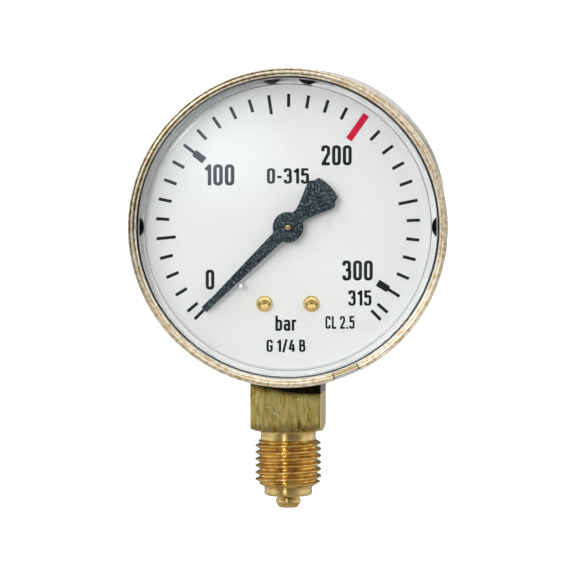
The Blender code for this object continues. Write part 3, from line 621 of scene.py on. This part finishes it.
def make_case():
    """The drawn can, with a flange under the ring, a pressed pocket, a lug behind the ring and holes."""
    inner, corner, flange, flange_front = CASE_RADIUS - CASE_SHEET, 2.4, 30.7, 15.3
    shell = turned("case_can", rounded([
        (0, BACK + CASE_SHEET), (inner, BACK + CASE_SHEET, corner - CASE_SHEET),
        (inner, 14.9), (inner, flange_front, 0.12), (flange, flange_front, 0.12), (flange, 14.6, 0.1),
        (CASE_RADIUS, 14.6, 0.25), (CASE_RADIUS, BACK, corner), (0, BACK)], closed=False, steps=9), steps=192)
    wide, high, floor = 8.2, 4.0, BACK + 1.6

    def pressed(name, grow, levels, edge):
        """The pocket's rounded oblong, this much larger all round."""
        right, up, radius = wide + grow, high + grow, 2 + grow
        corners = [(-right, -up, radius), (right, -up, radius), (right, up, radius), (-right, up, radius)]
        return plate(name, [rounded(corners, steps=8)], levels, edge, centre=(0, POCKET_HEIGHT))

    middle = polar(5.0, 45)
    outer = arc(27.3, -17, 107, 48, middle)
    start, end = (math.degrees(math.atan2(v, u)) for u, v in (outer[0], outer[-1]))
    lug = plate("lug", [outer + arc(29.9, end, start, 48)], (12.7, 13.3), 0.1)
    combine(shell, "UNION", pressed("boss", CASE_SHEET, (BACK + 0.3, floor + CASE_SHEET), 0.25), lug)
    hole = SQUARE / 2 + 0.25
    plug_hole = [(0, BACK + 2), (5.6, BACK + 2), (5.6, BACK + 0.2), (5.9, BACK - 1), (0, BACK - 1)]
    screw_hole = [(0, BACK + 4), (1.7, BACK + 4), (1.7, BACK - 1), (0, BACK - 1)]
    cuts = [pressed("hollow", 0.0, (BACK - 1, floor), 0.3),
            block("cut_stem", (-hole, -hole, 10), (hole, hole, 28)),
            turned("cut_plug", plug_hole, centre=(0, PLUG_HEIGHT))]
    for side in (-1, 1):
        cuts.append(turned("cut_hole", screw_hole, centre=(side * CASE_SCREW[0], CASE_SCREW[1]), steps=40))
    combine(shell, "DIFFERENCE", *cuts)
    piece(shell, steel, stands_for="case_shell", sharp=18)


make_case()

plug = turned("plug_dished", rounded([
    (0, BACK + 0.75), (4.3, BACK + 0.75, 0.15), (4.3, BACK + 1.9, 0.1), (5.0, BACK + 1.9, 0.2),
    (5.9, BACK + 1.2, 0.12), (5.9, BACK + 0.85, 0.1), (5.4, BACK + 0.8, 0.05), (5.4, BACK + 0.05, 0.25),
    (4.4, BACK + 0.05, 0.2), (4.1, BACK + 0.3, 0.2), (0, BACK + 0.3)], closed=False), centre=(0, PLUG_HEIGHT))
piece(plug, rubber, stands_for="blow_out_plug")


def make_case_screw(side, word):
    """A pan head with a slot."""
    head, centre = BACK + 1.5, (side * CASE_SCREW[0], CASE_SCREW[1])
    screw = turned(f"case_screw_pan_{word}", rounded([
        (0, BACK + 5.4), (1.1, BACK + 5.4, 0.15), (1.1, head, 0.1), (2.6, head, 0.1), (2.6, head - 0.7, 0.3),
        (1.9, head - 1.2, 0.5), (0, head - 1.3)], closed=False), centre=centre, steps=64)
    slot = plate("slot", [[(-3, -0.4), (3, -0.4), (3, 0.4), (-3, 0.4)]], (head - 2, head - 0.6), 0.0,
                 35 * side, centre)
    combine(screw, "DIFFERENCE", slot)
    piece(screw, zinc, stands_for=f"case_screw_{word}")


make_case_screw(-1, "left")
make_case_screw(1, "right")


# Ring and window

def make_ring():
    """The ring, with a roll and two fine grooves on its front, cut at its joint down to its inner lip."""
    ring = turned("ring_crowned", rounded([
        (29.66, 17.52, 0.05), (29.78, 17.7, 0.1), (30.04, 17.86, 0.1), (30.13, 17.72, 0.03),
        (30.22, 17.86, 0.1), (30.5, FRONT, 0.25), (30.78, 17.88, 0.1), (30.87, 17.72, 0.03),
        (30.96, 17.86, 0.1), (RING_RADIUS, 17.74, 0.14), (RING_RADIUS, 13.5, 0.12), (30.4, 13.5, 0.08),
        (30.4, 13.85, 0.08), (30.9, 13.85, 0.1), (30.9, 17.4, 0.15), (29.66, 17.34, 0.05)]), steps=288)
    start, end = JOINT_MIDDLE + JOINT_WIDTH / 2, JOINT_MIDDLE - JOINT_WIDTH / 2
    wedge = arc(33.0, start, end, 4) + arc(30.48, end, start, 4)
    combine(ring, "DIFFERENCE", plate("ring_gap", [wedge], (12.5, 19), 0.0))
    piece(ring, gold, stands_for="bezel_ring")


def make_tab(name, finish, inner, slack, levels):
    """A piece of the case in the ring's joint, with this slack in degrees at each end."""
    start, end = JOINT_MIDDLE + JOINT_WIDTH / 2 - slack, JOINT_MIDDLE - JOINT_WIDTH / 2 + slack
    tab = plate(name, [arc(31.15, start, end, 12) + arc(inner, end, start, 12)], levels, 0.08)
    piece(tab, finish, sharp=18)


def make_window():
    """A cup: a pane domed a little inside and out, a flange under the ring and a skirt down to the dial."""
    steps, edge, rear, inner = 24, 17.05, 15.6, 27.85
    rises = [1 - (i / steps) ** 2 for i in range(steps + 1)]
    dome = [(29.8 * i / steps, edge + 0.8 * rises[i]) for i in range(steps + 1)]
    under = [(inner * i / steps, rear + 0.7 * rises[i]) for i in range(steps, -1, -1)]
    flange = rounded([
        (29.9, edge), (30.5, 16.9, 0.1), (30.5, rear, 0.1), (29.15, rear, 0.15), (29.1, 11.5, 0.15),
        (28.05, 11.5, 0.15), (28.05, 15.35)], closed=False)
    fillet = arc(0.2, 12, 78, 5, (inner, 15.39))
    window = turned("window_domed", dome + flange + fillet + under, steps=192)
    piece(window, clear, stands_for="window")


make_ring()
make_tab("case_tab", steel, 30.55, 0.4, (15.4, 17.6))
# The root under the tab is given the dark pointer finish as painted shade, so the gaps beside the tab read
# dark.
make_tab("case_tab_root_painted_shade", matt, 30.75, 0.05, (13.95, 15.2))
make_window()


# Dial

def dial_outline():
    """A circle with four round notches in its edge."""
    notch, middle, radius = 2.56, 30.66, DIAL_RADIUS
    half = math.degrees(math.acos((middle ** 2 + radius ** 2 - notch ** 2) / (2 * middle * radius)))
    opening = math.degrees(math.acos((middle ** 2 + notch ** 2 - radius ** 2) / (2 * middle * notch)))
    angles = [0.0, 82.3, 96.3, 180.0]
    points = []
    for angle, following in zip(angles, angles[1:] + [angles[0] + 360]):
        centre = polar(middle, angle)
        points += arc(notch, angle + 180 + opening, angle + 180 - opening, 16, centre)[1:-1]
        steps = max(4, round((following - angle - 2 * half) / 1.5))
        points += arc(radius, angle + half, following - half, steps)
    return points


screw_holes = [circle(1.2, 32, (side * DIAL_SCREW[0], DIAL_SCREW[1])) for side in (-1, 1)]
dial = plate("dial_plate", [dial_outline(), circle(2.2), circle(0.55, 24, STOP_PIN), *screw_holes],
             (DIAL_REAR, DIAL_FRONT), 0.04)
piece(dial, enamel, stands_for="dial", sharp=12)

PRINT = (DIAL_FRONT - 0.01, DIAL_FRONT + 0.02)
SCALE_CENTRE = (0.0, 0.15)


def bar_angle(pressure):
    """Clockwise from the top. The first step is short, as the pointer rests on its pin."""
    first, last, step = -135.0, 135.4, 0.8717
    return last - (315 - pressure) * step if pressure else first


def mark(angle, inner, outer, width):
    """A radial bar's outline."""
    across, out = Vector(clock(1, angle + 90)), Vector(clock(1, angle))
    centre = Vector(SCALE_CENTRE)
    ends = ((inner, -1), (inner, 1), (outer, 1), (outer, -1))
    return [tuple(centre + out * radius + across * side * width / 2) for radius, side in ends]


def printed(name, outlines):
    """Thin raised areas of print as one mesh."""
    shape = bmesh.new()
    for outline in outlines:
        low = [shape.verts.new(on_dial(u, v, PRINT[0])) for u, v in outline]
        high = [shape.verts.new(on_dial(u, v, PRINT[1])) for u, v in outline]
        bridge(shape, low, high)
        shape.faces.new(low)
        shape.faces.new(high)
    return solid(name, shape)


def scale_mark(pressure):
    """A line every 10 bar, longer every 50, and with a wide foot at the numbers."""
    angle, line, outer = bar_angle(pressure), 0.62, 25.9
    if pressure in (0, 100, 300):
        wide, thin = mark(angle, 20.8, 23.3, 1.4), mark(angle, 23.3, outer, line)
        return wide[:3] + thin[1:] + [thin[0], wide[3]]
    return mark(angle, 22.1 if pressure % 50 == 0 else 23.3, outer, line)


black_marks = [scale_mark(pressure) for pressure in [*range(0, 320, 10), 315] if pressure != 200]
piece(printed("scale_marks", black_marks), ink)
piece(printed("scale_red_mark", [mark(bar_angle(200), 20.7, 26.7, 1.35)]), red)


# A narrow alphabet on a grid seven units tall: each letter's width and the centre lines of its strokes,
# whose corners have radii. A stroke that ends in "loop" is closed.
BOWL, LETTER_HEIGHT, LETTER_GAP = 0.95, 7, 0.75
LETTERS = {
    "0": (2.9, [[(0.5, 0.5, BOWL), (2.4, 0.5, BOWL), (2.4, 6.5, BOWL), (0.5, 6.5, BOWL), "loop"]]),
    "1": (1.9, [[(1.4, 7), (1.4, 0)], [(0.15, 5.2), (1.3, 6.35)]]),
    "2": (2.9, [[(0.5, 4.9), (0.5, 6.5, BOWL), (2.4, 6.5, BOWL), (2.4, 4.2, 1.5), (0.6, 0.6)],
                [(0.05, 0.5), (2.85, 0.5)]]),
    "3": (2.9, [[(0.5, 5.2), (0.5, 6.5, BOWL), (2.3, 6.5, BOWL), (2.3, 3.7, 0.8), (1.1, 3.7)],
                [(1.1, 3.7), (2.4, 3.7, BOWL), (2.4, 0.5, BOWL), (0.5, 0.5, BOWL), (0.5, 1.8)]]),
    "4": (2.9, [[(1.6, 7), (0.5, 2.0)], [(0, 1.7), (2.9, 1.7)], [(2.1, 4.4), (2.1, 0)]]),
    "5": (2.9, [[(2.7, 6.5), (0.6, 6.5), (0.6, 3.6)],
                [(0.6, 3.7), (1.0, 4.3, 0.5), (2.4, 4.3, BOWL), (2.4, 0.5, BOWL), (0.5, 0.5, BOWL),
                 (0.5, 1.8)]]),
    "-": (1.8, [[(0.1, 3.0), (1.7, 3.0)]]),
    ".": (1.0, [[(0.5, 0), (0.5, 1)]]),
    "/": (2.2, [[(0.3, -0.3), (1.9, 7.3)]]),
    " ": (0.6, []),
    "C": (2.9, [[(2.4, 4.9), (2.4, 6.5, BOWL), (0.5, 6.5, BOWL), (0.5, 0.5, BOWL), (2.4, 0.5, BOWL),
                 (2.4, 2.1)]]),
    "L": (2.5, [[(0.5, 7), (0.5, 0.5), (2.5, 0.5)]]),
    "G": (2.9, [[(2.4, 5.0), (2.4, 6.5, BOWL), (0.5, 6.5, BOWL), (0.5, 0.5, BOWL), (2.4, 0.5, BOWL),
                 (2.4, 3.3), (1.4, 3.3)]]),
    "B": (2.9, [[(0.5, 0.5), (0.5, 6.5), (2.2, 6.5, BOWL), (2.2, 3.7, 0.8), (0.5, 3.7)],
                [(0.5, 3.7), (2.4, 3.7, BOWL), (2.4, 0.5, BOWL), (0.4, 0.5)]]),
    "b": (2.9, [[(0.5, 7), (0.5, 0)], [(0.5, 0.5), (2.4, 0.5, BOWL), (2.4, 4.6, BOWL), (0.5, 4.6)]]),
    "a": (2.8, [[(0.6, 3.9), (0.6, 4.6, 0.7), (2.3, 4.6, BOWL), (2.3, 0)],
                [(2.3, 2.8), (0.5, 2.8, 0.8), (0.5, 0.5, 0.8), (2.3, 0.5)]]),
    "r": (2.0, [[(0.5, 5.1), (0.5, 0)], [(0.5, 3.2), (0.5, 4.6, 0.9), (2.0, 4.6)]]),
}


def stroke_rows(path, place):
    """Sections of a line of print along the path, square to it and mitred at its corners."""
    half_line = 0.56
    loop = path[-1] == "loop"
    points = [Vector(point) for point in rounded(path[:-1] if loop else path, closed=loop)]
    rows = []
    for i, here in enumerate(points):
        back = (here - points[i - 1]).normalized() if i or loop else None
        following = points[(i + 1) % len(points)]
        onward = (following - here).normalized() if i < len(points) - 1 or loop else None
        back, onward = back or onward, onward or back
        across = Vector((-back.y - onward.y, back.x + onward.x)).normalized()
        across *= half_line / max(0.5, across.dot(Vector((-onward.y, onward.x))))
        low, high = here - across, here + across
        rows.append([place(*low, PRINT[0]), place(*high, PRINT[0]),
                     place(*high, PRINT[1]), place(*low, PRINT[1])])
    if not loop:
        rows = [[(rows[0][0] + rows[0][2]) / 2], *rows, [(rows[-1][0] + rows[-1][2]) / 2]]
    return rows


def lettered(name, words, centre, width, height):
    """Print that fills this width and height, in millimetres."""
    full = sum(LETTERS[letter][0] + LETTER_GAP for letter in words) - LETTER_GAP
    shape, left = bmesh.new(), -full / 2
    for letter in words:
        def place(x, y, level, left=left):
            u = centre[0] + (left + x) * width / full
            return on_dial(u, centre[1] + (y / LETTER_HEIGHT - 0.5) * height, level)

        for path in LETTERS[letter][1]:
            rows = [[shape.verts.new(point) for point in row] for row in stroke_rows(path, place)]
            for near, far in zip(rows, rows[1:] + (rows[:1] if path[-1] == "loop" else [])):
                bridge(shape, near, far)
        left += LETTERS[letter][0] + LETTER_GAP
    return piece(solid(name, shape), ink)


lettered("number_0", "0", (-15.3, -10.4), 1.65, 3.9)
lettered("number_100", "100", (-13.4, 10.15), 5.7, 4.1)
lettered("number_200", "200", (9.5, 14.0), 5.9, 3.9)
lettered("number_300", "300", (13.65, -8.6), 5.9, 3.9)
lettered("number_315", "315", (14.1, -14.0), 4.5, 3.0)
lettered("unit_bar", "bar", (-0.4, -18.95), 4.1, 3.0)
lettered("range_text", "0-315", (0.0, 9.95), 8.2, 3.0)
lettered("class_text", "CL 2.5", (10.2, -18.8), 5.7, 2.5)
lettered("connection_text", "G 1/4 B", (-0.4, -23.4), 7.6, 2.4)

stop = turned("stop_pin_turned", rounded([
    (0, POINTER_FRONT + 0.2), (0.45, POINTER_FRONT + 0.2, 0.25), (0.45, 10.2, 0.1), (0, 10.2)], closed=False),
    centre=STOP_PIN, steps=32)
piece(stop, pin_white, stands_for="stop_pin")

def make_dial_screw(side, word):
    """Its turned head is dished at the middle."""
    seat, centre = DIAL_FRONT + 0.05, (side * DIAL_SCREW[0], DIAL_SCREW[1])
    screw = turned(f"dial_screw_turned_{word}", rounded([
        (0, seat + 0.44), (0.18, seat + 0.46), (0.36, seat + 0.52), (0.62, seat + 0.72, 0.1),
        (0.9, seat + 0.9, 0.2), (1.3, seat + 0.7, 0.2), (1.62, seat + 0.1, 0.1), (1.62, seat, 0.03),
        (0.9, seat), (0.9, 6.4, 0.15), (0, 6.4)], closed=False), centre=centre, steps=64)
    piece(screw, bright_brass, stands_for=f"dial_screw_{word}")


make_dial_screw(-1, "left")
make_dial_screw(1, "right")


# Pointer

def pointer_outline():
    """Pointing up: the right half down to the tail, then the left half back."""
    blade = [(0.0, 23.5), (0.28, 23.2), (0.62, 21.8), (0.87, 14.5), (1.25, 3.1)]
    disc = arc(3.0, 64, -60, 20)
    tail = [(1.36, -3.2), (1.45, -3.8), (1.75, -4.7), (2.45, -6.4), (3.25, -8.1)]
    corner = arc(1.2, -5, -60, 8, (2.35, -9.0))
    end = arc(8.7, -72, -90, 8, (0, -2.8))
    right = blade + disc + tail + corner + end
    return right + [(-u, v) for u, v in right[-2:0:-1]]


top = POINTER_FRONT - 0.05
hand = plate("pointer_hand", [pointer_outline()], (POINTER_REAR, top), 0.08, POINTER_REST)
piece(hand, matt, "pointer", stands_for="pointer", sharp=12)
hub = turned("pointer_boss", rounded([
    (0.5, top), (0.5, top + 0.35, 0.05), (0.9, top + 0.35, 0.1), (0.95, top)]), steps=48)
piece(hub, matt, "pointer")
arbor = turned("arbor_turned", rounded([
    (0, top + 0.55), (0.12, top + 0.54), (0.24, top + 0.51), (0.38, top + 0.45),
    (0.48, top + 0.35, 0.08), (0.48, 4.2, 0.1), (0, 4.2)], closed=False), steps=32)
piece(arbor, bright_brass, "pointer", stands_for="pointer_arbor")


# Pressure element and movement

def tube_rows():
    """A flattened tube, wound from the socket back and round to the end piece that carries the link."""
    link_arm = 180 + math.degrees(math.acos((COIL_RADIUS - SECTOR_TAIL) / SECTOR_PIVOT))
    start, end = 282.0, link_arm - TIP_SWING / 2 - 2 * 360 + 6.5
    thick, tall, turns, sides = 0.95, 1.45, 222, 24
    rows = [[on_dial(*polar(COIL_RADIUS, start), TUBE_REAR)]]
    for i in range(turns + 1):
        share = i / turns
        angle, level = start + (end - start) * share, TUBE_REAR + (TUBE_FRONT - TUBE_REAR) * share
        row = []
        for k in range(sides):
            across, along = polar(1.0, 360 * k / sides)
            radius = COIL_RADIUS + thick * math.copysign(abs(across) ** 0.8, across)
            row.append(on_dial(*polar(radius, angle), level + tall * along))
        rows.append(row)
    rows.append([on_dial(*polar(COIL_RADIUS, end), TUBE_FRONT)])
    return rows


tube = grid("bourdon_tube_drawn", tube_rows())
piece(tube, tube_bronze, body=None, stands_for="bourdon_tube")
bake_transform(tube)

# The movement's CAD nodes are carried as they are, with their finishes only.
carried = {"movement_brass": movement_brass, "movement_steel": movement_steel,
           "spring_bronze": spring_bronze, "spacer_brass": movement_brass}
for part in frame["record"]["subparts"]:
    if part["material_slot"] in carried:
        for holder in frame["nodes"][part["node"]].material_slots:
            holder.material = carried[part["material_slot"]]


# Studio

TARGET = Vector((0, 0, 0.05))


def emitter(name, azimuth, elevation, distance, size, power, color=(1, 1, 1), shape="RECTANGLE"):
    """A lamp that faces the gauge, at angles from its front; azimuth is negative to the left."""
    lamp = bpy.data.lights.new(name, "AREA")
    lamp.shape, lamp.size, lamp.size_y, lamp.energy, lamp.color = shape, *size, power, color
    made = bpy.data.objects.new(name, lamp)
    side, rise = math.radians(azimuth), math.radians(elevation)
    away = Vector((math.sin(side) * math.cos(rise), -math.cos(side) * math.cos(rise), math.sin(rise)))
    made.location = TARGET + away * distance
    made.rotation_euler = (-away).to_track_quat("-Z", "Y").to_euler()
    bpy.context.scene.collection.objects.link(made)


emitter("key", -17, 12, 1.3, (0.19, 0.13), 4.0)
emitter("top", 10, 72, 1.2, (0.8, 0.8), 2.2)
# A glow that the window reflects, soft because it is made of layers that grow and fade.
LAYERS = 9
for step in range(1, LAYERS + 1):
    fade = (LAYERS + 1 - step) / LAYERS
    emitter(f"glare_{step}", -4.4, 2.1, 1.6, (0.029 * step, 0.027 * step), 0.0036 * step ** 2 * fade,
            (0.82, 0.91, 1.0), "ELLIPSE")


def make_world():
    """A sky: dark before the gauge, bright beside and behind it, and white where it is seen."""
    world = bpy.data.worlds.new("studio")
    bpy.context.scene.world = world
    world.use_nodes = True
    tree = world.node_tree

    def node(kind, *values, **settings):
        made = tree.nodes.new(kind)
        for key, value in settings.items():
            setattr(made, key, value)
        for socket, value in zip(made.inputs, values):
            if isinstance(value, bpy.types.NodeSocket):
                tree.links.new(value, socket)
            else:
                socket.default_value = value
        return made

    facing = node("ShaderNodeSeparateXYZ", node("ShaderNodeTexCoord").outputs["Generated"]).outputs
    backward = node("ShaderNodeMapRange", facing[1], -1.0, clamp=False).outputs[0]
    upper = node("ShaderNodeMath", facing[2], 0.9, operation="MULTIPLY").outputs[0]
    lower = node("ShaderNodeMath", facing[2], -0.22, operation="MULTIPLY").outputs[0]
    beside = node("ShaderNodeMath", upper, lower, operation="MAXIMUM").outputs[0]
    raised = node("ShaderNodeMath", backward, beside, operation="ADD").outputs[0]
    spread = node("ShaderNodeValToRGB", raised)
    stops = ((0.0, 0.002), (0.08, 0.004), (0.16, 0.06), (0.26, 0.26), (0.40, 0.5), (0.58, 0.55), (0.70, 1.0),
             (0.88, 1.0), (0.97, 0.08))
    while len(spread.color_ramp.elements) < len(stops):
        spread.color_ramp.elements.new(0.5)
    for element, (position, level) in zip(spread.color_ramp.elements, stops):
        element.position, element.color = position, (level, level, level, 1)
    seen = node("ShaderNodeMix", node("ShaderNodeLightPath").outputs["Is Camera Ray"])
    seen.inputs["A"].default_value, seen.inputs["B"].default_value = 0.0, 1.1
    tree.links.new(spread.outputs[0], seen.inputs["A"])
    sky = tree.nodes["Background"]
    sky.inputs["Color"].default_value = (2.2, 2.2, 2.2, 1)
    tree.links.new(seen.outputs[0], sky.inputs["Strength"])


def make_floor():
    """Pale paper under and behind the gauge. It shines a little, and is white where it is seen."""
    shape = bmesh.new()
    bmesh.ops.create_grid(shape, x_segments=8, y_segments=8, size=4.0)
    floor = solid("floor", shape)
    floor.location = (0, 3.88, -0.12)
    paper = Finish("floor_paper", roughness=0.9)
    fibre = paper.noise(4.0, detail=4.0)
    paper.color(paper.ramp(fibre, (0.3, (0.40, 0.40, 0.40)), (0.7, (0.44, 0.44, 0.44))))
    paper.shader.inputs["Emission Color"].default_value = (1, 1, 1, 1)
    seen = paper.nodes.new("ShaderNodeLightPath").outputs["Is Camera Ray"]
    paper.links.new(paper.span(seen, 0.0, 1.0, 0.22, 1.0), paper.shader.inputs["Emission Strength"])
    floor.data.materials.append(paper.material)


def make_camera():
    """Straight in front of the dial, looking a little down."""
    camera = bpy.data.cameras.new("camera")
    camera.lens, camera.sensor_width, camera.clip_start, camera.clip_end = 315.1, 36.0, 0.05, 100.0
    eye = bpy.data.objects.new("camera", camera)
    eye.location = (0.00436, -1.0, 0.0985)
    aim = Vector((-0.00005, 0, 0.04128))
    eye.rotation_euler = (aim - eye.location).to_track_quat("-Z", "Y").to_euler()
    bpy.context.scene.collection.objects.link(eye)
    bpy.context.scene.camera = eye
    bpy.context.scene.view_settings.view_transform = "Standard"


make_world()
make_floor()
make_camera()
